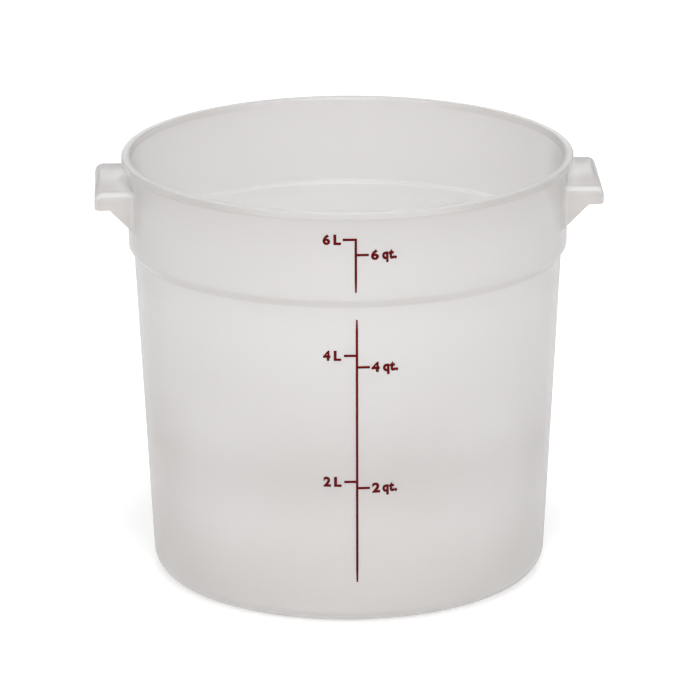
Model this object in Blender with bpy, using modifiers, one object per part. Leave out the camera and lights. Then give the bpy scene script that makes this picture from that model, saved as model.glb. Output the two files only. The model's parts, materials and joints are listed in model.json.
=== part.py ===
"""A round food storage container with two ear handles and a printed volume scale.

The vessel is one moulding of milky polypropylene: a tapered wall with a wider band below the
rim, a lip that a lid snaps over, a ledge inside the step, a raised floor inside a foot ring, and
two ears that are open below, so that fingers reach up into them. The scale is ink on the front.

Metres, +Z up. The vessel stands on Z = 0 about the Z axis, has an ear at each end of X, and its
scale faces -Y.
"""

import math

import bmesh
import bpy
from mathutils import Matrix, Vector

MM = 0.001

# Wall of the vessel: radii are those of its outer side
HEIGHT = 211.2 * MM
BODY_RADIUS = 104.9 * MM
BODY_DRAFT = math.radians(2.96)
WALL = 2.2 * MM
BAND_HEIGHT = 44.6 * MM
BAND_DRAFT = math.radians(0.65)
BAND_WALL = 2.0 * MM
STEP_OUT = 2.6 * MM
STEP_HEIGHT = 3.2 * MM
STEP_ROUND = 1.4 * MM
LEDGE_RISE = 1.0 * MM
LEDGE_ROUND = 1.1 * MM

# Rim and its lip
LIP_OUT = 2.6 * MM
LIP_HEIGHT = 3.8 * MM
LIP_ROUND = 0.8 * MM
LIP_FOOT_ROUND = 0.6 * MM
RIM_INNER_ROUND = 1.4 * MM

# Foot and floor
CORNER_RADIUS = 11.0 * MM
FOOT_HEIGHT = 3.0 * MM
FOOT_WIDTH = 2.8 * MM
FOOT_ROUND = 0.8 * MM
FLOOR = 2.5 * MM
GATE_RADIUS = 5.0 * MM
GATE_DEPTH = 0.6 * MM

# Ear handles
EAR_DROP = 11.5 * MM
EAR_REACH = 15.7 * MM
EAR_WIDTH = 58.6 * MM
EAR_WALL = 2.4 * MM
EAR_LIP = 8.6 * MM
EAR_LIP_RUN = 7.3 * MM
EAR_CORNER = 5.0 * MM
EAR_ROUND = 1.8 * MM
EAR_INNER_ROUND = 0.8 * MM
GUSSET_ANGLE = math.radians(45.0)

# Printed scale: heights are shares of the wall that carries them, measured up from its foot
PRINT_GAP = 0.3 * MM
PRINT_THICKNESS = 0.2 * MM
LINE_WIDTH = 1.15 * MM
LINE_END_WIDTH = 0.8 * MM
LINE_TAPER = 6.0 * MM
UPPER_LINE_X = 0.07 * MM
LOWER_LINE_X = 0.55 * MM
TICK_LENGTH = 5.6 * MM
TICK_HEIGHT = 1.25 * MM
UPPER_LINE_LOW_SHARE = 0.101
UPPER_LITRE_SHARES = (0.688,)
UPPER_QUART_SHARES = (0.518,)
LOWER_LINE_SHARES = (0.139, 0.96)
LOWER_LITRE_SHARES = (0.456, 0.849)
LOWER_QUART_SHARES = (0.436, 0.813)

# Facets: how far a chord may lie inside its arc, and the sides of each turned shape
CHORD_ERROR = 0.08 * MM
TURN_STEPS = 80
FILLET_SHARE = 0.98
CUT_OVERRUN = 10.0 * MM
WELD = 0.001 * MM
SHARP_ANGLE = math.radians(32.0)

# Places that follow from the sizes above
STEP_TOP = HEIGHT - BAND_HEIGHT
STEP_FOOT = STEP_TOP - STEP_HEIGHT
LEDGE = STEP_TOP + LEDGE_RISE
LIP_FOOT = HEIGHT - LIP_HEIGHT
FLOOR_TOP = FOOT_HEIGHT + FLOOR
EAR_TOP = HEIGHT - EAR_DROP
EAR_LIP_FOOT = EAR_TOP - EAR_LIP

# Materials: colour, roughness, opacity
PLASTIC = ((0.72, 0.72, 0.71), 0.38, 0.6)
INK = ((0.13, 0.006, 0.012), 0.5, 1.0)


def body_radius(z):
    """Outer radius of the tapered wall below the step, at height z."""
    return BODY_RADIUS - (STEP_FOOT - z) * math.tan(BODY_DRAFT)


def band_radius(z):
    """Outer radius of the band between the step and the lip, at height z."""
    return BODY_RADIUS + STEP_OUT + (z - STEP_TOP) * math.tan(BAND_DRAFT)


EAR_OUT = band_radius(HEIGHT) + EAR_REACH


def clear_scene():
    for obj in list(bpy.data.objects):
        bpy.data.objects.remove(obj, do_unlink=True)


def new_collection(name):
    collection = bpy.data.collections.new(name)
    bpy.context.scene.collection.children.link(collection)
    return collection


def new_material(name, colour, roughness, opacity):
    material = bpy.data.materials.new(name)
    material.use_nodes = True
    shader = material.node_tree.nodes["Principled BSDF"]
    shader.inputs["Base Color"].default_value = (*colour, 1.0)
    shader.inputs["Roughness"].default_value = roughness
    shader.inputs["Metallic"].default_value = 0.0
    shader.inputs["Alpha"].default_value = opacity
    material.diffuse_color = (*colour, opacity)
    return material


def new_object(name, mesh, collection, helper=False):
    obj = bpy.data.objects.new(name, mesh)
    collection.objects.link(obj)
    if helper:
        obj.hide_render = True
        obj.display_type = "WIRE"
    return obj


def arc_steps(turn, radius):
    """Chords that an arc needs so that none lies further inside it than the chord error."""
    return math.ceil(turn / (2 * math.acos(1 - min(CHORD_ERROR / radius, 1))))


def rounded(corners):
    """Outline through (a, b, radius) corners, each rounded by an arc that fits its two sides."""
    count = len(corners)
    spots = [Vector(corner[:2]) for corner in corners]
    sides = [spots[(i + 1) % count] - spots[i] for i in range(count)]
    turns = [sides[i - 1].angle(sides[i]) for i in range(count)]
    reaches = [corners[i][2] * math.tan(turns[i] / 2) for i in range(count)]
    room = [FILLET_SHARE * sides[i].length / max(reaches[i] + reaches[(i + 1) % count], WELD)
            for i in range(count)]
    points = []
    for i, spot in enumerate(spots):
        reach = reaches[i] * min(1, room[i - 1], room[i])
        if reach <= WELD:
            points.append(spot)
            continue
        radius = reach / math.tan(turns[i] / 2)
        start = spot - sides[i - 1].normalized() * reach
        inward = (sides[i].normalized() - sides[i - 1].normalized()).normalized()
        centre = spot + inward * (radius / math.cos(turns[i] / 2))
        spin = math.copysign(turns[i], sides[i - 1].cross(sides[i]))
        steps = arc_steps(turns[i], radius)
        for step in range(steps + 1):
            points.append(centre + Matrix.Rotation(spin * step / steps, 2) @ (start - centre))
    return points


def turned(name, outline, collection, closed=False):
    """Object whose outline of (radius, height) points is turned about Z."""
    mesh = bpy.data.meshes.new(name)
    edges = [(i, i + 1) for i in range(len(outline) - 1)]
    if closed:
        edges.append((len(outline) - 1, 0))
    mesh.from_pydata([(radius, 0, height) for radius, height in outline], edges, [])
    obj = new_object(name, mesh, collection, helper=True)
    screw = obj.modifiers.new("Turn", "SCREW")
    screw.steps = screw.render_steps = TURN_STEPS
    screw.use_merge_vertices = True
    screw.merge_threshold = WELD
    return obj


def slab(name, outline, low, high, collection, upright=False):
    """Outline filled and extruded from low to high: along Z, or along Y when it stands upright."""
    curve = bpy.data.curves.new(name, "CURVE")
    curve.dimensions = "2D"
    curve.fill_mode = "BOTH"
    curve.extrude = (high - low) / 2
    spline = curve.splines.new("POLY")
    spline.points.add(len(outline) - 1)
    for point, (a, b) in zip(spline.points, outline):
        point.co = (a, b, 0, 1)
    spline.use_cyclic_u = True
    guide = bpy.data.objects.new(name, curve)
    collection.objects.link(guide)
    graph = bpy.context.evaluated_depsgraph_get()
    mesh = bpy.data.meshes.new_from_object(guide.evaluated_get(graph))
    bpy.data.objects.remove(guide, do_unlink=True)
    bpy.data.curves.remove(curve)
    mesh.transform(Matrix.Translation((0, 0, (low + high) / 2)))
    if upright:
        mesh.transform(Matrix.Rotation(math.radians(90), 4, "X"))
    shape = bmesh.new()
    shape.from_mesh(mesh)
    bmesh.ops.remove_doubles(shape, verts=shape.verts, dist=WELD)
    bmesh.ops.recalc_face_normals(shape, faces=shape.faces)
    shape.to_mesh(mesh)
    shape.free()
    return new_object(name, mesh, collection, helper=True)


def round_top(obj, height, radius):
    """Rounds the edges of a slab's top face, which lies at this height."""
    shape = bmesh.new()
    shape.from_mesh(obj.data)
    top = [edge for edge in shape.edges
           if all(abs(v.co.z - height) < WELD for v in edge.verts)
           and edge.calc_face_angle() > SHARP_ANGLE]
    steps = arc_steps(math.radians(90), radius)
    bmesh.ops.bevel(shape, geom=top, offset=radius, segments=steps, profile=0.5, affect="EDGES")
    shape.to_mesh(obj.data)
    shape.free()


def boolean(obj, operation, other):
    modifier = obj.modifiers.new(other.name, "BOOLEAN")
    modifier.operation = operation
    modifier.object = other
    modifier.solver = "EXACT"


def finish(obj, name, collection, material):
    """Keeps the evaluated mesh of a helper as a finished piece with its material and shading."""
    bpy.context.view_layer.update()
    graph = bpy.context.evaluated_depsgraph_get()
    mesh = bpy.data.meshes.new_from_object(obj.evaluated_get(graph))
    mesh.name = name
    mesh.materials.clear()
    mesh.materials.append(material)
    mesh.shade_smooth()
    mesh.set_sharp_from_angle(angle=SHARP_ANGLE)
    return new_object(name, mesh, collection)


def vessel_outline():
    """Half section of the vessel, from the floor's centre over the rim to the underside."""
    contact = body_radius(0) - CORNER_RADIUS * math.tan((math.pi / 2 - BODY_DRAFT) / 2)
    foot_inner = contact - FOOT_WIDTH
    foot_inner_top = foot_inner - FOOT_HEIGHT * math.tan(BODY_DRAFT)
    lip_radius = band_radius(LIP_FOOT) + LIP_OUT
    return rounded([
        (0, FLOOR_TOP, 0),
        (body_radius(FLOOR_TOP) - WALL, FLOOR_TOP, CORNER_RADIUS - WALL),
        (body_radius(LEDGE) - WALL, LEDGE, LEDGE_ROUND),
        (band_radius(LEDGE) - BAND_WALL, LEDGE, LEDGE_ROUND),
        (band_radius(HEIGHT) - BAND_WALL, HEIGHT, RIM_INNER_ROUND),
        (lip_radius, HEIGHT, LIP_ROUND),
        (lip_radius, LIP_FOOT, LIP_FOOT_ROUND),
        (band_radius(LIP_FOOT), LIP_FOOT, LIP_FOOT_ROUND),
        (band_radius(STEP_TOP), STEP_TOP, STEP_ROUND),
        (body_radius(STEP_FOOT), STEP_FOOT, STEP_ROUND),
        (body_radius(0), 0, CORNER_RADIUS),
        (foot_inner, 0, FOOT_ROUND),
        (foot_inner_top, FOOT_HEIGHT, FOOT_ROUND),
        (GATE_RADIUS, FOOT_HEIGHT, 0),
        (GATE_RADIUS - GATE_DEPTH, FOOT_HEIGHT + GATE_DEPTH, 0),
        (0, FOOT_HEIGHT + GATE_DEPTH, 0),
    ])


def ear_plan(inset):
    """Plan of an ear seen from above, from the vessel's axis outwards, drawn in by inset."""
    out = EAR_OUT - inset
    half = EAR_WIDTH / 2 - inset
    corner = max(EAR_CORNER - inset, 0)
    return rounded([(0, -half, 0), (out, -half, corner), (out, half, corner), (0, half, 0)])


def ear_handles(cutters):
    """Both ears: a plate with a turned-down lip on two gussets, ending inside the band's wall."""
    gusset_top = EAR_OUT - EAR_LIP_RUN
    gusset_foot = EAR_LIP_FOOT - gusset_top * math.tan(GUSSET_ANGLE)
    low = gusset_foot - CUT_OVERRUN
    high = EAR_TOP + CUT_OVERRUN
    ears = slab("ear_form", ear_plan(0), gusset_foot, EAR_TOP, cutters)
    round_top(ears, EAR_TOP, EAR_ROUND)
    side = slab("ear_side_view", [
        (-CUT_OVERRUN, high),
        (-CUT_OVERRUN, low),
        (0, gusset_foot),
        (gusset_top, EAR_LIP_FOOT),
        (EAR_OUT + CUT_OVERRUN, EAR_LIP_FOOT),
        (EAR_OUT + CUT_OVERRUN, high),
    ], -EAR_WIDTH, EAR_WIDTH, cutters, upright=True)
    hollow_top = EAR_TOP - EAR_WALL
    hollow = slab("ear_hollow", ear_plan(EAR_WALL), low, hollow_top, cutters)
    round_top(hollow, hollow_top, EAR_INNER_ROUND)
    core = turned("band_core", [
        (0, high),
        (band_radius(high) - BAND_WALL / 2, high),
        (band_radius(low) - BAND_WALL / 2, low),
        (0, low),
    ], cutters)
    boolean(ears, "INTERSECT", side)
    boolean(ears, "DIFFERENCE", hollow)
    boolean(ears, "DIFFERENCE", core)
    mirror = ears.modifiers.new("Other ear", "MIRROR")
    mirror.use_mirror_merge = False
    return ears


def build_vessel(parts, cutters, material):
    vessel = turned("vessel_form", vessel_outline(), cutters)
    boolean(vessel, "UNION", ear_handles(cutters))
    return finish(vessel, "vessel", parts, material)


def scale_outline(x, low, high, litres, quarts, top_mark):
    """Front view of a scale line with a tick to the left at each litre and to the right at each
    quart. It narrows at its lower end, and at its upper end too unless that ends in a mark."""
    left, right = x - LINE_WIDTH / 2, x + LINE_WIDTH / 2
    narrow_left, narrow_right = x - LINE_END_WIDTH / 2, x + LINE_END_WIDTH / 2
    half = TICK_HEIGHT / 2
    points = [(narrow_left, low), (narrow_right, low), (right, low + LINE_TAPER)]
    for height in quarts:
        points += [(right, height - half), (right + TICK_LENGTH, height - half)]
        points += [(right + TICK_LENGTH, height + half), (right, height + half)]
    if top_mark:
        points += [(right, high + half), (left - TICK_LENGTH, high + half)]
        points += [(left - TICK_LENGTH, high - half), (left, high - half)]
    else:
        points += [(right, high - LINE_TAPER), (narrow_right, high), (narrow_left, high)]
        points += [(left, high - LINE_TAPER)]
        for height in reversed(litres):
            points += [(left, height + half), (left - TICK_LENGTH, height + half)]
            points += [(left - TICK_LENGTH, height - half), (left, height - half)]
    return points + [(left, low + LINE_TAPER)]


def build_scale(name, outline, radius, low, high, parts, cutters, material):
    """Ink lying on the outer side of the wall, where the front view of the outline falls on it."""
    skin = turned(name + "_skin", [
        (radius(high) + PRINT_GAP + PRINT_THICKNESS, high),
        (radius(low) + PRINT_GAP + PRINT_THICKNESS, low),
        (radius(low) + PRINT_GAP, low),
        (radius(high) + PRINT_GAP, high),
    ], cutters, closed=True)
    front = radius(high) + CUT_OVERRUN
    back = radius(low) - CUT_OVERRUN
    mark = slab(name + "_front_view", outline, back, front, cutters, upright=True)
    boolean(mark, "INTERSECT", skin)
    return finish(mark, name, parts, material)


def build_scales(parts, cutters, ink):
    low = STEP_TOP + UPPER_LINE_LOW_SHARE * BAND_HEIGHT
    litres = [STEP_TOP + share * BAND_HEIGHT for share in UPPER_LITRE_SHARES]
    quarts = [STEP_TOP + share * BAND_HEIGHT for share in UPPER_QUART_SHARES]
    outline = scale_outline(UPPER_LINE_X, low, litres[-1], litres, quarts, top_mark=True)
    build_scale("scale_upper", outline, band_radius, STEP_TOP, LIP_FOOT, parts, cutters, ink)
    low, high = (share * STEP_FOOT for share in LOWER_LINE_SHARES)
    litres = [share * STEP_FOOT for share in LOWER_LITRE_SHARES]
    quarts = [share * STEP_FOOT for share in LOWER_QUART_SHARES]
    outline = scale_outline(LOWER_LINE_X, low, high, litres, quarts, top_mark=False)
    build_scale("scale_lower", outline, body_radius, 0, STEP_FOOT, parts, cutters, ink)


def main():
    clear_scene()
    parts = new_collection("food_storage_container")
    cutters = new_collection("cutters")
    plastic = new_material("milky_plastic", *PLASTIC)
    ink = new_material("scale_ink", *INK)
    build_vessel(parts, cutters, plastic)
    build_scales(parts, cutters, ink)


main()
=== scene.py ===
"""Looks of a round food storage container of milky polypropylene with two ear handles.

The vessel is one moulding, and the volume scale on its front is printed ink. Metres, +Z up: the
vessel stands on Z = 0 about the Z axis, has an ear at each end of X, and its scale faces -Y.
"""

import json
import logging
import math
from collections.abc import Callable
from dataclasses import dataclass
from enum import Enum

import bmesh
import bpy
from mathutils import Matrix, Vector

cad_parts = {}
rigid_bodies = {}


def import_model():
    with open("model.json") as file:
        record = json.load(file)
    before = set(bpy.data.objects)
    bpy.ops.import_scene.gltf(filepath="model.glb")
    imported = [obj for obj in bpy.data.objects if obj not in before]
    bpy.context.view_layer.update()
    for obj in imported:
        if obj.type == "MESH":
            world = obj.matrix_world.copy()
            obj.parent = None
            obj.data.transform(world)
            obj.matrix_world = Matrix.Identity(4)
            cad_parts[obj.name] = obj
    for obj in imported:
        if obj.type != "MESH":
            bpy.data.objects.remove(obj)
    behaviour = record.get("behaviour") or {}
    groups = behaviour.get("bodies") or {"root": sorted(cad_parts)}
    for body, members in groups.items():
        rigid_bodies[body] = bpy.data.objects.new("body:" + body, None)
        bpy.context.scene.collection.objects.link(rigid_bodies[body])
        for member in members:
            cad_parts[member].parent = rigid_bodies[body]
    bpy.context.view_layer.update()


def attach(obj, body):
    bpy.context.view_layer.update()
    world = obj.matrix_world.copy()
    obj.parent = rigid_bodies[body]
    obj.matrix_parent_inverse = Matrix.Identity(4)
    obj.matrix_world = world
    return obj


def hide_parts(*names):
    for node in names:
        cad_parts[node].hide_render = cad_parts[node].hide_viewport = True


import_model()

MM = 0.001
TOUCH = 0.01 * MM  # a corner this close to a height, a radius or a side lies on it
SQUARE = 0.9  # a normal this long along an axis points that way
LEANING = 0.5  # a normal this long along an axis leans that way
SMOOTH_ANGLE = math.radians(30)

Triple = tuple[float, float, float]
Piece = bpy.types.Object
Socket = bpy.types.NodeSocket

log = logging.getLogger("container")


class Pick(Enum):
    """What edit mode selects."""

    VERTICES = "VERT"
    EDGES = "EDGE"
    FACES = "FACE"


class Unit(Enum):
    """Units that a mark of the scale reads in."""

    LITRES = "L"
    QUARTS = "qt."


class Bench:
    """Hand tools for one piece at a time."""

    @staticmethod
    def hold(obj: Piece) -> None:
        """Makes a piece the only selected and active one.

        Args:
            obj: The piece.
        """
        bpy.ops.object.select_all(action="DESELECT")
        obj.select_set(True)
        bpy.context.view_layer.objects.active = obj

    @staticmethod
    def start(name: str) -> Piece:
        """Names the primitive just added and puts its place into its mesh.

        Args:
            name: Name of the piece.

        Returns:
            The piece, with its object at the origin.
        """
        obj = bpy.context.active_object
        obj.name = name
        Bench.hold(obj)
        bpy.ops.object.transform_apply(location=True, rotation=True, scale=True)
        return obj

    @staticmethod
    def apply(obj: Piece, kind: str, **settings: object) -> None:
        """Adds a modifier with these settings and applies it.

        Args:
            obj: Piece that gets the modifier.
            kind: Blender's name for the kind of modifier.
            settings: Values of the modifier's properties.
        """
        modifier = obj.modifiers.new(kind.title(), kind)
        for key, value in settings.items():
            setattr(modifier, key, value)
        Bench.hold(obj)
        bpy.ops.object.modifier_apply(modifier=modifier.name)

    @staticmethod
    def combine(obj: Piece, operation: str, tool: Piece) -> None:
        """Joins a tool's solid to a piece or cuts it away, and removes the tool.

        Args:
            obj: Piece that is changed.
            operation: UNION or DIFFERENCE.
            tool: Solid that is joined on or cut away.
        """
        Bench.apply(obj, "BOOLEAN", operation=operation, object=tool, solver="EXACT")
        bpy.data.objects.remove(tool, do_unlink=True)

    @staticmethod
    def smooth(obj: Piece) -> None:
        """Smooth shading, with edges sharper than the smooth angle kept."""
        Bench.hold(obj)
        bpy.ops.object.shade_smooth_by_angle(angle=SMOOTH_ANGLE)


class Editing:
    """Edit mode on one piece, which picks its parts by where they are."""

    def __init__(self, obj: Piece, pick: Pick) -> None:
        """Keeps the piece and what is to be picked."""
        self.obj = obj
        self.pick = pick

    def __enter__(self) -> "Editing":
        """Enters edit mode with nothing selected.

        Returns:
            The hand that edits.
        """
        Bench.hold(self.obj)
        bpy.ops.object.mode_set(mode="EDIT")
        bpy.ops.mesh.select_mode(type=self.pick.value)
        bpy.ops.mesh.select_all(action="DESELECT")
        return self

    def __exit__(self, *_: object) -> None:
        """Leaves edit mode."""
        bpy.ops.object.mode_set(mode="OBJECT")

    def all(self) -> None:
        """Selects the whole mesh."""
        bpy.ops.mesh.select_all(action="SELECT")

    def select(self, test: Callable[[object], bool]) -> None:
        """Selects only the vertices, edges or faces that pass a test.

        Args:
            test: Says of a vertex, edge or face whether it is wanted.
        """
        bpy.ops.mesh.select_all(action="DESELECT")
        shape = bmesh.from_edit_mesh(self.obj.data)
        parts = {Pick.VERTICES: shape.verts, Pick.EDGES: shape.edges, Pick.FACES: shape.faces}
        for part in [part for part in parts[self.pick] if test(part)]:
            part.select_set(True)
        shape.select_flush_mode()
        bmesh.update_edit_mesh(self.obj.data)

    def extrude(self, x: float = 0, z: float = 0) -> None:
        """Extrudes the selection and moves it."""
        bpy.ops.mesh.extrude_region_move(TRANSFORM_OT_translate={"value": (x, 0, z)})

    def move(self, z: float) -> None:
        """Moves the selection up."""
        bpy.ops.transform.translate(value=(0, 0, z))

    def resize(self, share: Triple, centre: Triple) -> None:
        """Resizes the selection about a point."""
        bpy.ops.transform.resize(value=share, center_override=centre)

    def round(self, reach: float, segments: int, profile: float = 0.5) -> None:
        """Rounds the selected edges.

        Args:
            reach: How far from each edge the round ends.
            segments: Facets across the round.
            profile: 0.5 for a round, less for one that is nearly a chamfer.
        """
        bpy.ops.mesh.bevel(offset_type="OFFSET", offset=reach, segments=segments,
                           profile=profile, affect="EDGES", clamp_overlap=False)


@dataclass(frozen=True)
class Ring:
    """One corner of the vessel's half section: where it is and how far it is rounded."""

    radius: float
    height: float
    rounding: float = 0
    segments: int = 6


@dataclass
class Vessel:
    """The moulding: tapered wall, band, step, lip, foot, raised floor and both ears."""

    height: float = 211.2 * MM
    body_radius: float = 104.9 * MM
    body_draft: float = math.radians(2.96)
    wall: float = 2.2 * MM
    band_height: float = 44.6 * MM
    band_draft: float = math.radians(0.65)
    band_wall: float = 2.0 * MM
    step_out: float = 2.6 * MM
    step_height: float = 3.2 * MM
    ledge_rise: float = 1.0 * MM
    lip_out: float = 2.6 * MM
    lip_height: float = 3.8 * MM
    corner_radius: float = 11.0 * MM
    foot_height: float = 3.0 * MM
    foot_width: float = 2.8 * MM
    floor: float = 2.5 * MM
    gate_radius: float = 5.0 * MM
    gate_depth: float = 0.6 * MM
    ear_drop: float = 11.5 * MM
    ear_reach: float = 15.7 * MM
    ear_width: float = 58.6 * MM
    ear_wall: float = 2.4 * MM
    ear_lip: float = 8.6 * MM
    ear_lip_run: float = 7.3 * MM
    ear_fold_round: float = 4.2 * MM
    ear_foot_round: float = 1.2 * MM
    ear_fillet: float = 3.0 * MM
    fillet_steps: int = 5
    ear_round: float = 2.2 * MM
    ear_round_profile: float = 0.36
    ear_inner_round: float = 0.8 * MM
    ear_overlap: float = 16.5 * MM
    ear_side_segments: int = 7
    ear_fold_segments: int = 10
    ear_fine_segments: int = 4
    ledge_round: float = 1.1 * MM
    mouth_round: float = 1.4 * MM
    rim_round: float = 0.8 * MM
    lip_round: float = 0.6 * MM
    step_round: float = 1.4 * MM
    foot_round: float = 0.8 * MM
    floor_segments: int = 14
    corner_segments: int = 16
    sides: int = 256

    @property
    def step_top(self) -> float:
        """Height where the band starts, above the step."""
        return self.height - self.band_height

    @property
    def step_foot(self) -> float:
        """Height where the tapered wall ends, below the step."""
        return self.step_top - self.step_height

    def wall_radius(self, z: float) -> float:
        """Outer radius of the tapered wall at a height."""
        return self.body_radius - (self.step_foot - z) * math.tan(self.body_draft)

    def band_radius(self, z: float) -> float:
        """Outer radius of the band at a height."""
        return self.body_radius + self.step_out + (z - self.step_top) * math.tan(self.band_draft)

    def section(self) -> list[Ring]:
        """Corners of the half section.

        Returns:
            Rings from the floor's middle, up the inside, over the rim and down to the underside.
        """
        ledge = self.step_top + self.ledge_rise
        lip_foot = self.height - self.lip_height
        lip = self.band_radius(lip_foot) + self.lip_out
        floor_top = self.foot_height + self.floor
        corner_turn = math.pi / 2 - self.body_draft
        contact = self.wall_radius(0) - self.corner_radius * math.tan(corner_turn / 2)
        foot_inner = contact - self.foot_width
        floor_inner = foot_inner - self.foot_height * math.tan(self.body_draft)
        return [
            Ring(self.gate_radius, floor_top),
            Ring(self.wall_radius(floor_top) - self.wall, floor_top,
                 self.corner_radius - self.wall, self.floor_segments),
            Ring(self.wall_radius(ledge) - self.wall, ledge, self.ledge_round),
            Ring(self.band_radius(ledge) - self.band_wall, ledge, self.ledge_round),
            Ring(self.band_radius(self.height) - self.band_wall, self.height, self.mouth_round),
            Ring(lip, self.height, self.rim_round),
            Ring(lip, lip_foot, self.lip_round),
            Ring(self.band_radius(lip_foot), lip_foot, self.lip_round),
            Ring(self.band_radius(self.step_top), self.step_top, self.step_round),
            Ring(self.wall_radius(self.step_foot), self.step_foot, self.step_round),
            Ring(self.wall_radius(0), 0, self.corner_radius, self.corner_segments),
            Ring(foot_inner, 0, self.foot_round),
            Ring(floor_inner, self.foot_height, self.foot_round),
            Ring(self.gate_radius, self.foot_height),
            Ring(self.gate_radius - self.gate_depth, self.foot_height + self.gate_depth),
        ]

    def turn_body(self) -> Piece:
        """Extrudes a circle ring by ring along the section and rounds each corner.

        Returns:
            The closed body without its ears.
        """
        section = self.section()
        first = section[0]
        bpy.ops.mesh.primitive_circle_add(vertices=self.sides, radius=first.radius,
                                          location=(0, 0, first.height))
        body = Bench.start("vessel_moulding")
        with Editing(body, Pick.EDGES) as hand:
            hand.all()
            for here, there in zip(section, section[1:]):
                hand.extrude(z=there.height - here.height)
                share = there.radius / here.radius
                hand.resize((share, share, 1), (0, 0, there.height))
            for ring in (first, section[-1]):
                hand.select(lambda edge, ring=ring: self.lies_on(edge, ring))
                bpy.ops.mesh.edge_face_add()
            for before, ring, after in zip(section, section[1:], section[2:]):
                if ring.rounding:
                    hand.select(lambda edge, ring=ring: self.lies_on(edge, ring))
                    reach = ring.rounding * math.tan(self.turn(before, ring, after) / 2)
                    hand.round(reach, ring.segments)
            hand.all()
            bpy.ops.mesh.normals_make_consistent(inside=False)
        return body

    @staticmethod
    def lies_on(edge: bmesh.types.BMEdge, ring: Ring) -> bool:
        """Whether an edge is one of the chords of a ring."""
        return all(abs(v.co.xy.length - ring.radius) < TOUCH
                   and abs(v.co.z - ring.height) < TOUCH for v in edge.verts)

    @staticmethod
    def turn(before: Ring, ring: Ring, after: Ring) -> float:
        """Angle by which the section turns at a ring."""
        spots = [Vector((r.radius, r.height)) for r in (before, ring, after)]
        return (spots[1] - spots[0]).angle(spots[2] - spots[1])

    def ear_stations(self) -> list[tuple[float, float]]:
        """Works out how wide the ear is on its way in, with a fillet where it meets the wall.

        Returns:
            Places along X with half the ear's width there, from its fold to inside the wall.
        """
        out = self.band_radius(self.height) + self.ear_reach
        fold = out - self.ear_lip_run
        half = self.ear_width / 2
        wall = self.band_radius(self.height - self.ear_drop)
        far = wall + self.ear_fillet
        centre = math.sqrt(far ** 2 - (half + self.ear_fillet) ** 2)
        swing = math.acos((half + self.ear_fillet) / far)
        steps = [(fold, half)]
        for step in range(self.fillet_steps + 1):
            angle = swing * step / self.fillet_steps
            steps.append((centre - self.ear_fillet * math.sin(angle),
                          half + self.ear_fillet * (1 - math.cos(angle))))
        steps.append((fold - self.ear_overlap, steps[-1][1]))
        return steps

    def shape_ear(self) -> Piece:
        """Models one ear: a plate with a turned-down lip, hollow below, on two gussets.

        Returns:
            The ear at +X, still running through the vessel's wall.
        """
        top = self.height - self.ear_drop
        lip_foot = top - self.ear_lip
        out = self.band_radius(self.height) + self.ear_reach
        half = self.ear_width / 2
        hollow_top = top - self.ear_wall
        stations = self.ear_stations()
        fold = stations[0][0]
        bpy.ops.mesh.primitive_cube_add(size=1,
                                        location=((fold + out) / 2, 0, (lip_foot + top) / 2),
                                        scale=(self.ear_lip_run, self.ear_width, self.ear_lip))
        ear = Bench.start("ear")
        with Editing(ear, Pick.FACES) as hand:
            hand.select(lambda face: face.normal.x < -SQUARE)
            for (here, width), (there, next_width) in zip(stations, stations[1:]):
                hand.extrude(x=there - here)
                hand.resize((1, next_width / width, 1), (0, 0, 0))
        with Editing(ear, Pick.VERTICES) as hand:
            for x, _ in stations[1:]:
                hand.select(lambda v, x=x: abs(v.co.x - x) < TOUCH
                            and v.co.z < lip_foot + TOUCH)
                hand.move(z=x - fold)
        with Editing(ear, Pick.FACES) as hand:
            hand.select(lambda face: face.normal.z < -LEANING)
            bpy.ops.mesh.inset(thickness=self.ear_wall, use_even_offset=True)
            hand.extrude()
            hand.resize((1, 1, 0), (0, 0, hollow_top))
        with Editing(ear, Pick.EDGES) as hand:
            hand.select(lambda edge: all(abs(v.co.z - hollow_top) < TOUCH for v in edge.verts)
                        and edge.calc_face_angle(0) > SMOOTH_ANGLE)
            hand.round(self.ear_inner_round, self.ear_fine_segments)
            hand.select(lambda edge: all(v.co.x > out - TOUCH and v.co.z > top - TOUCH
                                         for v in edge.verts))
            hand.round(self.ear_fold_round, self.ear_fold_segments)
            hand.select(lambda edge: self.outlines_side(edge, half, lip_foot))
            hand.round(self.ear_round, self.ear_side_segments, self.ear_round_profile)
            hand.select(lambda edge: all(v.co.x > out - TOUCH and v.co.z < lip_foot + TOUCH
                                         for v in edge.verts))
            hand.round(self.ear_foot_round, self.ear_fine_segments)
            hand.all()
            bpy.ops.mesh.normals_make_consistent(inside=False)
        return ear

    @staticmethod
    def outlines_side(edge: bmesh.types.BMEdge, half: float, lip_foot: float) -> bool:
        """Whether an edge runs round a side of the ear, above its underside.

        Args:
            edge: Edge of the ear.
            half: Half the ear's width.
            lip_foot: Height of the lip's lower edge.

        Returns:
            True on the top, the fold and the outer corner of either side.
        """
        upright, least, slant, down = 0.01, 0.1, 0.3, -0.1
        sides = [face for face in edge.link_faces
                 if abs(face.normal.z) < upright
                 and abs(face.normal.y) > max(least, abs(face.normal.x) * slant)]
        others = [face for face in edge.link_faces if face not in sides]
        below = all(v.co.z < lip_foot + TOUCH for v in edge.verts)
        return (len(sides) == 1 and len(others) == 1 and not below
                and others[0].normal.z > down and others[0].normal.x > -LEANING
                and all(abs(v.co.y) > half - TOUCH for v in edge.verts))

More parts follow.
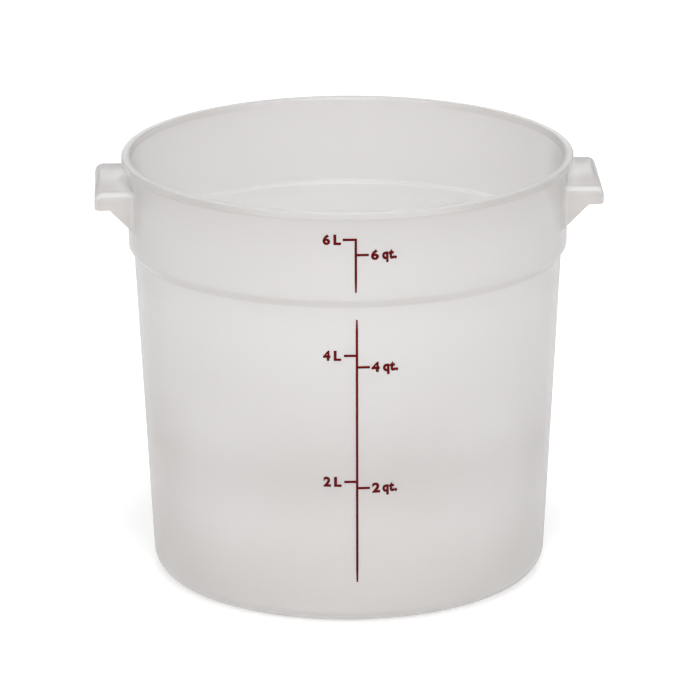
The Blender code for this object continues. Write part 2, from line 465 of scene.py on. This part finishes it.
    def add_ears(self, body: Piece) -> None:
        """Cuts the ears back to the middle of the band's wall and joins them on.

        Args:
            body: The vessel without its ears.
        """
        ears = self.shape_ear()
        low, high = self.height / 2, self.height + self.ear_wall
        middle = self.band_wall / 2
        bpy.ops.mesh.primitive_cone_add(vertices=self.sides, depth=high - low,
                                        radius1=self.band_radius(low) - middle,
                                        radius2=self.band_radius(high) - middle,
                                        location=(0, 0, (low + high) / 2))
        Bench.combine(ears, "DIFFERENCE", Bench.start("core"))
        Bench.apply(ears, "MIRROR", use_mirror_merge=False)
        Bench.combine(body, "UNION", ears)

    def build(self, finish: "MilkyPlastic") -> Piece:
        """Builds the vessel in place of its plain solid.

        Args:
            finish: Finish of the plastic.

        Returns:
            The finished piece.
        """
        body = self.turn_body()
        self.add_ears(body)
        Bench.smooth(body)
        body.data.materials.append(finish.material(self))
        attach(body, "root")
        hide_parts("vessel")
        log.info("vessel: %d faces", len(body.data.polygons))
        return body


@dataclass(frozen=True)
class Mark:
    """One reading of the scale: number, unit, height and the room for its figures."""

    number: int
    unit: Unit
    height: float
    figure: tuple[float, float]
    word: tuple[float, float]
    rise: float = 0


@dataclass
class Scale:
    """One printed line with its ticks and readings, lying on the vessel's wall."""

    name: str
    node: str
    x: float
    low: float
    high: float
    marks: tuple[Mark, ...]
    top_mark: bool = False
    line_width: float = 1.2 * MM
    end_width: float = 0.8 * MM
    taper: float = 6.0 * MM
    tick_length: float = 5.6 * MM
    tick_height: float = 1.25 * MM
    letter_height: float = 5.2 * MM
    figure_weight: float = 0.28 * MM
    litre_weight: float = 0.27 * MM
    quart_weight: float = 0.32 * MM
    letter_space: float = 1.14
    letter_steps: int = 6
    descender: float = 1.3 * MM
    tick_parts: int = 3
    weld: float = 0.04 * MM
    sliver: float = 0.02 * MM
    plain_face: float = 0.2 * MM
    film: float = 0.06 * MM
    lift: float = 0.03 * MM
    front: float = 130 * MM

    def draw_line(self) -> Piece:
        """Draws the line and its ticks flat in front of the wall, edge by edge.

        Returns:
            The flat line, facing -Y.
        """
        half = self.tick_height / 2
        stops = {self.low + self.taper: self.line_width}
        for mark in self.marks:
            stops[mark.height - half] = self.line_width
            stops[mark.height + half] = self.line_width
        if not self.top_mark:
            stops[self.high - self.taper] = self.line_width
            stops[self.high] = self.end_width
        heights = sorted(stops)
        bpy.ops.mesh.primitive_plane_add(size=self.line_width, rotation=(math.pi / 2, 0, 0),
                                         location=(self.x, -self.front, self.low))
        line = Bench.start(self.name)
        with Editing(line, Pick.EDGES) as hand:
            hand.select(lambda edge: all(v.co.z < self.low for v in edge.verts))
            hand.move(z=self.line_width / 2)
            hand.select(lambda edge: all(v.co.z > self.low + self.line_width / 4
                                         for v in edge.verts))
            hand.move(z=heights[0] - self.low - self.line_width / 2)
            hand.select(lambda edge: all(v.co.z < self.low + half for v in edge.verts))
            hand.resize((self.end_width / self.line_width, 1, 1), (self.x, 0, 0))
            hand.select(lambda edge: all(v.co.z > heights[0] - half for v in edge.verts))
            for here, there in zip(heights, heights[1:]):
                hand.extrude(z=there - here)
                share = stops[there] / stops[here]
                hand.resize((share, 1, 1), (self.x, 0, 0))
            for mark in self.marks:
                side = -1 if mark.unit is Unit.LITRES else 1
                hand.select(lambda edge, mark=mark, side=side: all(
                    abs(v.co.z - mark.height) < half + TOUCH
                    and (v.co.x - self.x) * side > 0 for v in edge.verts))
                for _ in range(self.tick_parts):
                    hand.extrude(x=side * self.tick_length / self.tick_parts)
        return line

    def write(self, text: str, weight: float, room: tuple[float, float], foot: float,
              head: float, rise: float) -> Piece:
        """Writes letters flat in front of the wall, filling the room that they are given.

        Args:
            text: The letters.
            weight: How far their strokes are thickened on either side.
            room: Left and right end of their room.
            foot: Lowest point of the letters.
            head: Highest point of the letters.
            rise: Angle by which the line of writing climbs to the right.

        Returns:
            The flat letters, facing -Y.
        """
        bpy.ops.object.text_add(location=(0, -self.front, 0), rotation=(math.pi / 2, 0, 0))
        obj = bpy.context.active_object
        obj.data.body = text
        obj.data.size = self.letter_height
        obj.data.offset = weight
        obj.data.space_character = self.letter_space
        obj.data.resolution_u = self.letter_steps
        Bench.hold(obj)
        bpy.ops.object.convert(target="MESH")
        letters = Bench.start(self.name + "_letters")
        xs = [v.co.x for v in letters.data.vertices]
        zs = [v.co.z for v in letters.data.vertices]
        wide = (room[1] - room[0]) / (max(xs) - min(xs))
        tall = (head - foot) / (max(zs) - min(zs))
        to_room = Matrix.Translation((sum(room) / 2, -self.front, (foot + head) / 2))
        to_middle = Matrix.Translation((-(max(xs) + min(xs)) / 2, self.front,
                                        -(max(zs) + min(zs)) / 2))
        letters.data.transform(to_room @ Matrix.Rotation(-rise, 4, "Y")
                               @ Matrix.Diagonal((wide, 1, tall, 1)) @ to_middle)
        return letters

    def lay_down(self, print_: Piece, vessel: Piece) -> None:
        """Lays a flat print on the wall as a thin film of ink.

        Args:
            print_: Flat print in front of the wall.
            vessel: Piece that carries the ink.
        """
        Bench.apply(print_, "WELD", merge_threshold=self.weld)
        with Editing(print_, Pick.FACES) as hand:
            hand.all()
            bpy.ops.mesh.dissolve_degenerate(threshold=self.sliver)
            bpy.ops.mesh.normals_make_consistent(inside=False)
            hand.select(lambda face: face.normal.y > LEANING
                        and face.calc_area() > self.plain_face ** 2)
            bpy.ops.mesh.select_linked()
            bpy.ops.mesh.flip_normals()
        Bench.apply(print_, "SHRINKWRAP", target=vessel, wrap_method="PROJECT",
                    use_project_y=True, use_positive_direction=True,
                    wrap_mode="ABOVE_SURFACE", offset=self.lift)
        Bench.apply(print_, "SOLIDIFY", thickness=self.film, offset=1)

    def build(self, vessel: Piece, finish: "ScaleInk") -> None:
        """Prints the line, its ticks and its readings.

        Args:
            vessel: Piece that carries the ink.
            finish: Finish of the ink.
        """
        ink = finish.material()
        pieces = [self.draw_line()]
        for mark in self.marks:
            foot = mark.height - self.letter_height / 2
            head = mark.height + self.letter_height / 2
            figure = self.write(str(mark.number), self.figure_weight, mark.figure,
                                foot, head, mark.rise)
            figure.name = f"figure_{mark.number}_{mark.unit.name.lower()}"
            quarts = mark.unit is Unit.QUARTS
            below = self.descender if quarts else 0
            weight = self.quart_weight if quarts else self.litre_weight
            word = self.write(mark.unit.value, weight, mark.word,
                              foot - below, head, mark.rise)
            word.name = f"unit_{mark.number}_{mark.unit.name.lower()}"
            pieces += [figure, word]
        for piece in pieces:
            self.lay_down(piece, vessel)
            piece.data.materials.clear()
            piece.data.materials.append(ink)
            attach(piece, "root")
        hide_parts(self.node)
        log.info("%s: %d pieces of ink", self.name, len(pieces))


class Nodes:
    """Node tree of a material or a node group, laid out call by call."""

    def __init__(self, tree: bpy.types.NodeTree) -> None:
        """Keeps the tree and starts it empty."""
        self.tree = tree
        self.tree.nodes.clear()

    def add(self, kind: str, inputs: dict | None = None, **settings: object) -> bpy.types.Node:
        """Adds a node.

        Args:
            kind: Blender's name for the node.
            inputs: Value of each input, or the output that feeds it.
            settings: Values of the node's properties.

        Returns:
            The node.
        """
        node = self.tree.nodes.new(kind)
        for key, value in settings.items():
            setattr(node, key, value)
        for key, value in (inputs or {}).items():
            if isinstance(value, Socket):
                self.tree.links.new(value, node.inputs[key])
            else:
                node.inputs[key].default_value = value
        return node

    def math(self, operation: str, first: object, second: object = 0.0) -> Socket:
        """Works out one sum from outputs or numbers."""
        return self.add("ShaderNodeMath", {0: first, 1: second}, operation=operation).outputs[0]

    def product(self, *factors: object) -> Socket:
        """Multiplies outputs and numbers.

        Args:
            factors: What is multiplied.

        Returns:
            The product.
        """
        result = factors[0]
        for factor in factors[1:]:
            result = self.math("MULTIPLY", result, factor)
        return result

    def span(self, value: Socket, zero: float, one: float) -> Socket:
        """Turns a value into a smooth share that is 0 at one place and 1 at another."""
        inputs = {"Value": value, "From Min": zero, "From Max": one}
        node = self.add("ShaderNodeMapRange", inputs, interpolation_type="SMOOTHSTEP")
        return node.outputs["Result"]

    def spread(self, share: Socket, low: float, high: float) -> Socket:
        """Turns a share from 0 to 1 into a value from low to high."""
        inputs = {"Value": share, "To Min": low, "To Max": high}
        return self.add("ShaderNodeMapRange", inputs).outputs["Result"]

    def blend(self, share: Socket, none: Triple, full: Triple) -> Socket:
        """Blends two colours.

        Args:
            share: How much of the second colour shows.
            none: Colour where the share is 0.
            full: Colour where the share is 1.

        Returns:
            The blended colour.
        """
        node = self.add("ShaderNodeMix", {"Factor": share}, data_type="RGBA")
        node.inputs["A"].default_value = (*none, 1)
        node.inputs["B"].default_value = (*full, 1)
        return node.outputs["Result"]

    def bump(self, height: Socket, strength: float, depth: float) -> Socket:
        """Turns a height into the way that the surface faces."""
        inputs = {"Height": height, "Strength": strength, "Distance": depth}
        return self.add("ShaderNodeBump", inputs).outputs["Normal"]


class Unevenness:
    """Node group of the slight unevenness that a moulded or printed surface has."""

    NAME = "surface_unevenness"
    CLOUDS = {"Detail": 3.0, "Roughness": 0.45}
    GRAIN = {"Detail": 2.0, "Roughness": 0.6}

    @classmethod
    def group(cls) -> bpy.types.NodeTree:
        """The group, built once.

        Returns:
            A group with soft clouds and a fine grain, both from 0 to 1.
        """
        if cls.NAME in bpy.data.node_groups:
            return bpy.data.node_groups[cls.NAME]
        tree = bpy.data.node_groups.new(cls.NAME, "ShaderNodeTree")
        nodes = Nodes(tree)
        for name, kind in (("Place", "NodeSocketVector"), ("Cloud Scale", "NodeSocketFloat"),
                           ("Grain Scale", "NodeSocketFloat")):
            tree.interface.new_socket(name=name, in_out="INPUT", socket_type=kind)
        for name in ("Clouds", "Grain"):
            tree.interface.new_socket(name=name, in_out="OUTPUT", socket_type="NodeSocketFloat")
        given = nodes.add("NodeGroupInput").outputs
        clouds = nodes.add("ShaderNodeTexNoise", {
            "Vector": given["Place"], "Scale": given["Cloud Scale"], **cls.CLOUDS})
        grain = nodes.add("ShaderNodeTexNoise", {
            "Vector": given["Place"], "Scale": given["Grain Scale"], **cls.GRAIN})
        nodes.add("NodeGroupOutput",
                  {"Clouds": clouds.outputs["Fac"], "Grain": grain.outputs["Fac"]})
        return tree

    @classmethod
    def lay(cls, nodes: Nodes, place: Socket, clouds: float,
            grain: float) -> tuple[Socket, Socket]:
        """Adds the group to a material.

        Args:
            nodes: Tree of the material.
            place: Place on the piece.
            clouds: Scale of the clouds.
            grain: Scale of the grain.

        Returns:
            The clouds and the grain.
        """
        inputs = {"Place": place, "Cloud Scale": clouds, "Grain Scale": grain}
        outputs = nodes.add("ShaderNodeGroup", inputs, node_tree=cls.group()).outputs
        return outputs["Clouds"], outputs["Grain"]


class Measure(Enum):
    """What tells one patch of the moulding from the rest."""

    RADIUS = "distance from the axis"
    ACROSS = "X, either way"
    ALONG = "Y, either way"
    HEIGHT = "height"
    OUTWARD = "facing away from the axis"
    UPWARD = "facing up"
    ENDWAYS = "facing along X, either way"
    SIDEWAYS = "facing along Y, either way"

    def fade(self, begins: float, full: float) -> "Fade":
        """Where a patch begins along this measure, and where it is full."""
        return Fade(self, begins, full)


@dataclass(frozen=True)
class Fade:
    """How a patch fades in along one measure."""

    measure: Measure
    begins: float
    full: float


@dataclass(frozen=True)
class Patch:
    """A patch of the moulding with painted shade or painted light beyond what its height alone
    gives.
    """

    name: str
    change: float
    fades: tuple[Fade, ...]


class MilkDepth:
    """Node group of how deep the moulding looks, from its plastic's thickness and from painted
    shade and light: 0 where it looks deep, 1 where it looks light.
    """

    NAME = "milk_depth"
    OUTSIDE = Fade(Measure.OUTWARD, -0.15, 0.2)

    @staticmethod
    def outside_levels(vessel: Vessel) -> list[tuple[float, float]]:
        """Painted shade up the outside, partly following the plastic's thickness: deep at the foot,
        the step and the lip, light between them.

        Args:
            vessel: Sizes of the moulding.

        Returns:
            Heights with the milkiness and painted shade there.
        """
        foot, top, band = vessel.step_foot, vessel.height, vessel.band_height
        lip_foot = top - vessel.lip_height
        ledge = vessel.step_top + vessel.ledge_rise
        return [
            (0, 0.60), (vessel.corner_radius, 0.61), (foot * 0.16, 0.64), (foot * 0.3, 0.70),
            (foot * 0.46, 0.55), (foot * 0.68, 0.83), (foot * 0.92, 0.96), (foot - 1 * MM, 0.91),
            (foot, 0.44), (vessel.step_top, 0.50), (ledge, 0.82), (ledge + band * 0.4, 0.78),
            (lip_foot - band * 0.1, 0.66), (lip_foot, 0.6), (top - 1 * MM, 0.6),
            (top - 0.3 * MM, 0.96),
        ]

    @staticmethod
    def inside_levels(vessel: Vessel) -> list[tuple[float, float]]:
        """Painted shade up the inside: lightest on the floor, deepest right above it, where shade
        falls at the foot of the wall.

        Args:
            vessel: Sizes of the moulding.

        Returns:
            Heights with the milkiness and painted shade there.
        """
        floor_top = vessel.foot_height + vessel.floor
        foot, step_top = vessel.step_foot, vessel.step_top
        return [
            (floor_top, 1.00), (floor_top + 0.8 * MM, 1.00), (floor_top + 3 * MM, 0.0),
            (foot * 0.17, 0.0), (foot * 0.31, 0.4), (foot * 0.6, 0.85), (foot * 0.9, 0.90),
            (foot - 2 * MM, 0.90), (foot, 0.8), (step_top + vessel.ledge_rise, 0.8),
            (step_top + 3 * MM, 0.81), (vessel.height, 0.72),
        ]

    @classmethod
    def patches(cls, vessel: Vessel) -> list[Patch]:
        """Patches of painted shade and painted light that the heights alone don't cover.

        Args:
            vessel: Sizes of the moulding.

        Returns:
            The patches of painted shade, then those of painted light.
        """
        rim = vessel.band_radius(vessel.height)
        half = vessel.ear_width / 2
        foot, step_top, top = vessel.step_foot, vessel.step_top, vessel.height
        radius, height = Measure.RADIUS.fade, Measure.HEIGHT.fade
        across, along = Measure.ACROSS.fade, Measure.ALONG.fade
        outward, upward = Measure.OUTWARD.fade, Measure.UPWARD.fade
        endways, sideways = Measure.ENDWAYS.fade, Measure.SIDEWAYS.fade
        outside = cls.OUTSIDE
        flank = across(rim * 0.78, rim * 0.95)
        off_front = across(rim * 0.3, rim * 0.65)
        below_rim = height(top - 6 * MM, top - 8 * MM)
        on_ear = (radius(rim + 0.5 * MM, rim + 3 * MM), below_rim)
        # Negative changes paint shade: inside the rim, under the lip, below the ears and at their
        # roots, on their flat ends and near their tops' ends. Positive changes paint light: a
        # painted highlight on the ears' end rounds, light on their folds, on the wall between front
        # and sides and on the step, and lifted shade where the ears meet the band.
        return [
            Patch("inner side of the rim", -0.33, (
                outward(-0.15, -0.45), off_front, height(top - 3.4 * MM, top - 2.6 * MM))),
            Patch("inner part of the rim's top", -0.33, (
                upward(0.6, 0.9), off_front, height(top - 3 * MM, top - 2 * MM),
                radius(rim + 0.2 * MM, rim - 0.6 * MM))),
            Patch("sides below the ears", -0.16, (
                outside, flank, height(top - 70 * MM, top - 50 * MM),
                height(top - 20 * MM, top - 26 * MM))),
            Patch("fillets at the ears' roots", -0.3, (
                along(half + 0.05 * MM, half + 0.5 * MM), flank,
                radius(rim - 0.3 * MM, rim + 0.5 * MM), below_rim)),
            Patch("outer side of the lip", -0.35, (
                outside, off_front, height(top - 5 * MM, top - 4 * MM),
                height(top, top - 1 * MM))),
            Patch("ears", -0.12, on_ear),
            Patch("sides of the tapered wall", -0.12, (
                outside, across(rim * 0.8, rim * 0.9), height(foot, foot - 10 * MM))),
            Patch("flat ends of the ears", -0.4, (*on_ear, sideways(0.85, 0.97))),
            Patch("ears' tops near their ends", -0.2, (
                *on_ear, upward(0.6, 0.95), along(half - 6 * MM, half - 4.5 * MM),
                along(half - 2 * MM, half - 3 * MM))),
            Patch("wall between its front and its sides", 0.21, (
                outside, across(rim * 0.2, rim * 0.65), across(rim * 0.85, rim * 0.68),
                height(20 * MM, 55 * MM), height(118 * MM, 90 * MM))),
            Patch("step at the sides", 0.3, (
                outside, flank, height(foot - 1 * MM, foot),
                height(step_top + 2 * MM, step_top))),
            Patch("band where the ears meet it", 0.6, (
                outside, flank, height(top - 16 * MM, top - 12 * MM),
                along(half + 2 * MM, half - 2 * MM),
                radius(rim + 3.2 * MM, rim + 2.8 * MM))),
            Patch("ears' tops near the band", 0.4, (
                upward(0.6, 0.9), flank, along(half + 2 * MM, half - 1 * MM),
                height(top - 10 * MM, top - 11 * MM),
                radius(rim + 9 * MM, rim + 3 * MM))),
            Patch("folds of the ears", 0.35, (*on_ear, endways(0.1, 0.5), upward(0.05, 0.3))),
            Patch("rounds at the ears' ends", 0.5, (
                *on_ear, sideways(0.3, 0.5), sideways(0.92, 0.8), upward(0.2, 0.4))),
            Patch("inside of the band at the ears", 0.25, (
                outward(0, -0.3), across(rim * 0.85, rim * 0.96),
                height(step_top, step_top + 5 * MM),
                height(top - 2.6 * MM, top - 3.4 * MM))),
        ]

    @staticmethod
    def ramp(nodes: Nodes, share: Socket, levels: list[tuple[float, float]],
             height: float) -> Socket:
        """Adds a ramp up the moulding.

        Args:
            nodes: Tree that gets the ramp.
            share: Height as a share of the whole height.
            levels: Heights with the value there.
            height: The whole height.

        Returns:
            The ramp's value.
        """
        node = nodes.add("ShaderNodeValToRGB", {"Fac": share})
        stops = node.color_ramp.elements
        for level, _ in levels[2:]:
            stops.new(level / height)
        for stop, (level, milk_and_shade) in zip(stops, levels):
            stop.position = level / height
            stop.color = (milk_and_shade, milk_and_shade, milk_and_shade, 1)
        return node.outputs["Color"]

    @staticmethod
    def measure(nodes: Nodes, place: Socket,
                facing: Socket) -> dict[Measure, Socket]:
        """Works out every measure.

        Args:
            nodes: Tree that gets the sums.
            place: Place on the moulding.
            facing: The way that the surface faces there.

        Returns:
            Each measure with the output that gives it.
        """
        at = nodes.add("ShaderNodeSeparateXYZ", {0: place}).outputs
        faces = nodes.add("ShaderNodeSeparateXYZ", {0: facing}).outputs
        flat = nodes.add("ShaderNodeCombineXYZ", {"X": at["X"], "Y": at["Y"]}).outputs[0]
        away = nodes.add("ShaderNodeVectorMath", {0: flat}, operation="NORMALIZE")
        radius = nodes.add("ShaderNodeVectorMath", {0: flat}, operation="LENGTH")
        outward = nodes.add("ShaderNodeVectorMath", {0: away.outputs["Vector"], 1: facing},
                            operation="DOT_PRODUCT")
        return {
            Measure.RADIUS: radius.outputs["Value"],
            Measure.ACROSS: nodes.math("ABSOLUTE", at["X"]),
            Measure.ALONG: nodes.math("ABSOLUTE", at["Y"]),
            Measure.HEIGHT: at["Z"],
            Measure.OUTWARD: outward.outputs["Value"],
            Measure.UPWARD: faces["Z"],
            Measure.ENDWAYS: nodes.math("ABSOLUTE", faces["X"]),
            Measure.SIDEWAYS: nodes.math("ABSOLUTE", faces["Y"]),
        }

    @classmethod
    def group(cls, vessel: Vessel) -> bpy.types.NodeTree:
        """Builds the group.

        Args:
            vessel: Sizes of the moulding.

        Returns:
            A group that turns a place on the moulding, and the way it faces, into its milkiness
            with painted shade and light.
        """
        tree = bpy.data.node_groups.new(cls.NAME, "ShaderNodeTree")
        nodes = Nodes(tree)
        for name in ("Place", "Facing"):
            tree.interface.new_socket(name=name, in_out="INPUT", socket_type="NodeSocketVector")
        tree.interface.new_socket(name="Milk", in_out="OUTPUT", socket_type="NodeSocketFloat")
        given = nodes.add("NodeGroupInput").outputs
        measures = cls.measure(nodes, given["Place"], given["Facing"])
        patches = cls.patches(vessel)
        wanted = [cls.OUTSIDE] + [fade for patch in patches for fade in patch.fades]
        shares = {fade: nodes.span(measures[fade.measure], fade.begins, fade.full)
                  for fade in dict.fromkeys(wanted)}
        level = nodes.math("DIVIDE", measures[Measure.HEIGHT], vessel.height)
        # the two ramps paint shade up the outside and up the inside
        outer = cls.ramp(nodes, level, cls.outside_levels(vessel), vessel.height)
        inner = cls.ramp(nodes, level, cls.inside_levels(vessel), vessel.height)
        milk_and_shade = nodes.add("ShaderNodeMix",
                         {"Factor": shares[cls.OUTSIDE], 2: inner, 3: outer}).outputs[0]
        for patch in patches:
            change = nodes.product(*(shares[fade] for fade in patch.fades), patch.change)
            milk_and_shade = nodes.math("ADD", milk_and_shade, change)
            milk_and_shade.node.label = patch.name
        nodes.add("NodeGroupOutput", {"Milk": milk_and_shade})
        return tree


@dataclass(frozen=True)
class MilkyPlastic:
    """Milky, translucent polypropylene with a soft sheen."""

    # light is the lit end and deep the shaded end of the painted shade, deep also where the plastic
    # is thick
    light: Triple = (0.945, 0.935, 0.934)
    deep: Triple = (0.71, 0.683, 0.664)
    mottle: float = 0.06
    smooth: float = 0.16
    dull: float = 0.22
    clear_share: float = 0.55
    glow_share: float = 0.35
    refraction: float = 1.49
    haze: Triple = (0.5, 0.5, 0.5)
    haze_density: float = 30.0
    cloud_scale: float = 18.0
    grain_scale: float = 900.0
    bump_strength: float = 0.15
    bump_depth: float = 0.02 * MM

    def material(self, vessel: Vessel) -> bpy.types.Material:
        """Builds the material.

        Args:
            vessel: Sizes of the moulding, which say where shade and light are painted.

        Returns:
            A mix of a sheen that lets blurred light through and a milky glow.
        """
        material = bpy.data.materials.new("milky_plastic")
        material.use_nodes = True
        nodes = Nodes(material.node_tree)
        coordinate = nodes.add("ShaderNodeTexCoord").outputs
        place = coordinate["Object"]
        clouds, grain = Unevenness.lay(nodes, place, self.cloud_scale, self.grain_scale)
        # the group's value paints shade and light into the base colour, partly following the
        # plastic's thickness
        depth = nodes.add("ShaderNodeGroup", {"Place": place, "Facing": coordinate["Normal"]},
                          node_tree=MilkDepth.group(vessel)).outputs["Milk"]
        mottle = nodes.math("MULTIPLY", nodes.math("SUBTRACT", clouds, 0.5), self.mottle)
        shade = nodes.blend(nodes.math("ADD", depth, mottle), self.deep, self.light)
        bump = nodes.bump(grain, self.bump_strength, self.bump_depth)
        body = nodes.add("ShaderNodeBsdfPrincipled", {
            "Base Color": shade, "Roughness": nodes.spread(clouds, self.smooth, self.dull),
            "Normal": bump, "IOR": self.refraction, "Transmission Weight": self.clear_share})
        glow = nodes.add("ShaderNodeBsdfTranslucent", {"Color": shade, "Normal": bump})
        both = nodes.add("ShaderNodeMixShader", {
            0: self.glow_share, 1: body.outputs[0], 2: glow.outputs[0]})
        haze = nodes.add("ShaderNodeVolumeAbsorption", {
            "Color": (*self.haze, 1), "Density": self.haze_density})
        nodes.add("ShaderNodeOutputMaterial",
                  {"Surface": both.outputs[0], "Volume": haze.outputs[0]})
        return material


@dataclass(frozen=True)
class ScaleInk:
    """Dark red printing ink, laid on a little unevenly."""

    NAME = "scale_ink_print"

    full: Triple = (0.075, 0.0005, 0.001)
    thin: Triple = (0.11, 0.001, 0.0024)
    smooth: float = 0.45
    dull: float = 0.6
    sheen: float = 0.08
    cloud_scale: float = 260.0
    grain_scale: float = 2600.0
    bump_strength: float = 0.2
    bump_depth: float = 0.01 * MM

    def material(self) -> bpy.types.Material:
        """Builds the material, or gives the one that the other line uses.

        Returns:
            A red that varies with how thick the ink lies.
        """
        if self.NAME in bpy.data.materials:
            return bpy.data.materials[self.NAME]
        material = bpy.data.materials.new(self.NAME)
        material.use_nodes = True
        nodes = Nodes(material.node_tree)
        place = nodes.add("ShaderNodeTexCoord").outputs["Object"]
        clouds, grain = Unevenness.lay(nodes, place, self.cloud_scale, self.grain_scale)
        body = nodes.add("ShaderNodeBsdfPrincipled", {
            "Base Color": nodes.blend(clouds, self.full, self.thin),
            "Roughness": nodes.spread(grain, self.smooth, self.dull),
            "Normal": nodes.bump(grain, self.bump_strength, self.bump_depth),
            "Specular IOR Level": self.sheen})
        nodes.add("ShaderNodeOutputMaterial", {"Surface": body.outputs[0]})
        return material


@dataclass(frozen=True)
class SoftBox:
    """A soft box that faces the vessel: its name, place, width, watts and, if not square, depth."""

    name: str
    place: Triple
    size: float
    power: float
    depth: float = 0.0


@dataclass
class Studio:
    """Pale floor, soft lights and the camera."""

    floor_size: float = 40.0
    floor_drop: float = 0.2 * MM
    floor_colour: Triple = (0.92, 0.92, 0.92)
    floor_roughness: float = 0.9
    floor_glow: float = 0.323
    under_glow: float = 0.6
    under_radius: float = 81 * MM
    under_blur: float = 11 * MM
    horizon: float = 0.0
    zenith: float = 0.83
    boxes: tuple[SoftBox, ...] = (
        SoftBox("key_box", (0.05, -0.49, 1.7), 0.55, 7.6, 0.3),
        SoftBox("front_box", (0, -2.4, 1.2), 1.6, 38.0),
        SoftBox("back_box", (0, 2.6, 0.6), 1.1, 3.85),
        SoftBox("left_box", (-2.0, -0.9, 1.0), 1.2, 5.33),
        SoftBox("right_box", (2.0, -0.9, 1.0), 1.2, 3.19),
    )
    distance: float = 2784.3 * MM
    elevation: float = math.radians(17.093)
    turn: float = math.radians(2.0)
    roll: float = math.radians(-0.2425)
    aim: tuple[float, float] = (0.891 * MM, 109.79 * MM)
    lens: float = 289.605
    sensor: float = 36.0
    nearest: float = 0.1
    farthest: float = 50.0

    def lay_floor(self) -> None:
        """Lays the floor, which glows softly, and more so right below the vessel's raised floor."""
        bpy.ops.mesh.primitive_plane_add(size=self.floor_size, location=(0, 0, -self.floor_drop))
        floor = Bench.start("floor")
        material = bpy.data.materials.new("floor_paper")
        material.use_nodes = True
        nodes = Nodes(material.node_tree)
        place = nodes.add("ShaderNodeTexCoord").outputs["Object"]
        away = nodes.add("ShaderNodeVectorMath", {0: place}, operation="LENGTH").outputs["Value"]
        under = nodes.span(away, self.under_radius, self.under_radius - self.under_blur)
        glow = nodes.math("ADD", nodes.math("MULTIPLY", under, self.under_glow), self.floor_glow)
        body = nodes.add("ShaderNodeBsdfPrincipled", {
            "Base Color": (*self.floor_colour, 1), "Roughness": self.floor_roughness,
            "Emission Color": (1, 1, 1, 1), "Emission Strength": glow})
        nodes.add("ShaderNodeOutputMaterial", {"Surface": body.outputs[0]})
        floor.data.materials.append(material)

    def light(self) -> None:
        """Sets the room's light and the soft boxes."""
        world = bpy.data.worlds.new("studio")
        world.use_nodes = True
        nodes = Nodes(world.node_tree)
        way = nodes.add("ShaderNodeTexCoord").outputs["Generated"]
        up = nodes.add("ShaderNodeSeparateXYZ", {0: way}).outputs["Z"]
        sky = nodes.add("ShaderNodeBackground", {
            "Color": (1, 1, 1, 1), "Strength": nodes.spread(up, self.horizon, self.zenith)})
        nodes.add("ShaderNodeOutputWorld", {"Surface": sky.outputs[0]})
        bpy.context.scene.world = world
        for box in self.boxes:
            light = bpy.data.lights.new(box.name, "AREA")
            light.shape = "RECTANGLE"
            light.size = box.size
            light.size_y = box.depth or box.size
            light.energy = box.power
            obj = bpy.data.objects.new(box.name, light)
            bpy.context.scene.collection.objects.link(obj)
            obj.location = box.place
            to_vessel = Vector((0, 0, self.aim[1])) - obj.location
            obj.rotation_euler = to_vessel.to_track_quat("-Z", "Y").to_euler()

    def place_camera(self) -> None:
        """Places the camera at the height, side and lens of the photograph."""
        camera = bpy.data.objects.new("camera", bpy.data.cameras.new("camera"))
        bpy.context.scene.collection.objects.link(camera)
        camera.data.lens = self.lens
        camera.data.sensor_width = self.sensor
        camera.data.clip_start = self.nearest
        camera.data.clip_end = self.farthest
        turned = Matrix.Rotation(-self.turn, 4, "Z")
        tilt = Matrix.Rotation(math.pi / 2 - self.elevation, 4, "X")
        back = Matrix.Translation((0, 0, self.distance))
        aim = Matrix.Translation((self.aim[0], 0, self.aim[1]))
        camera.matrix_world = turned @ aim @ tilt @ Matrix.Rotation(self.roll, 4, "Z") @ back
        bpy.context.scene.camera = camera

    def build(self) -> None:
        """Sets up the stage and the plain colour handling."""
        self.lay_floor()
        self.light()
        self.place_camera()
        bpy.context.scene.view_settings.view_transform = "Standard"
        log.info("studio ready")


def build_scales() -> list[Scale]:
    """Sizes of the two printed lines, measured on the wall.

    Returns:
        The upper and the lower line.
    """
    litre_rooms = ((-15.6 * MM, -12.0 * MM), (-10.5 * MM, -6.9 * MM))
    climb = math.radians(1)
    upper = Scale(
        name="upper_scale_print", node="scale_upper",
        x=0.07 * MM, low=171.1 * MM, high=197.9 * MM, top_mark=True, marks=(
            Mark(6, Unit.LITRES, 197.29 * MM, *litre_rooms),
            Mark(6, Unit.QUARTS, 189.7 * MM, (7.2 * MM, 11.0 * MM), (12.5 * MM, 19.6 * MM), climb),
        ))
    lower = Scale(
        name="lower_scale_print", node="scale_lower",
        x=0.55 * MM, low=22.7 * MM, high=156.87 * MM, marks=(
            Mark(4, Unit.LITRES, 138.73 * MM, *litre_rooms),
            Mark(4, Unit.QUARTS, 132.84 * MM, (7.45 * MM, 11.5 * MM), (12.95 * MM, 20.3 * MM),
                 climb),
            Mark(2, Unit.LITRES, 74.51 * MM, *litre_rooms),
            Mark(2, Unit.QUARTS, 71.24 * MM, (7.7 * MM, 11.6 * MM), (12.65 * MM, 19.85 * MM),
                 climb),
        ))
    return [upper, lower]


def main() -> None:
    """Builds the vessel, its print and the studio."""
    logging.basicConfig(level=logging.INFO, format="%(name)s: %(message)s")
    vessel = Vessel().build(MilkyPlastic())
    ink = ScaleInk()
    for scale in build_scales():
        scale.build(vessel, ink)
    Studio().build()


if __name__ == "__main__":
    main()
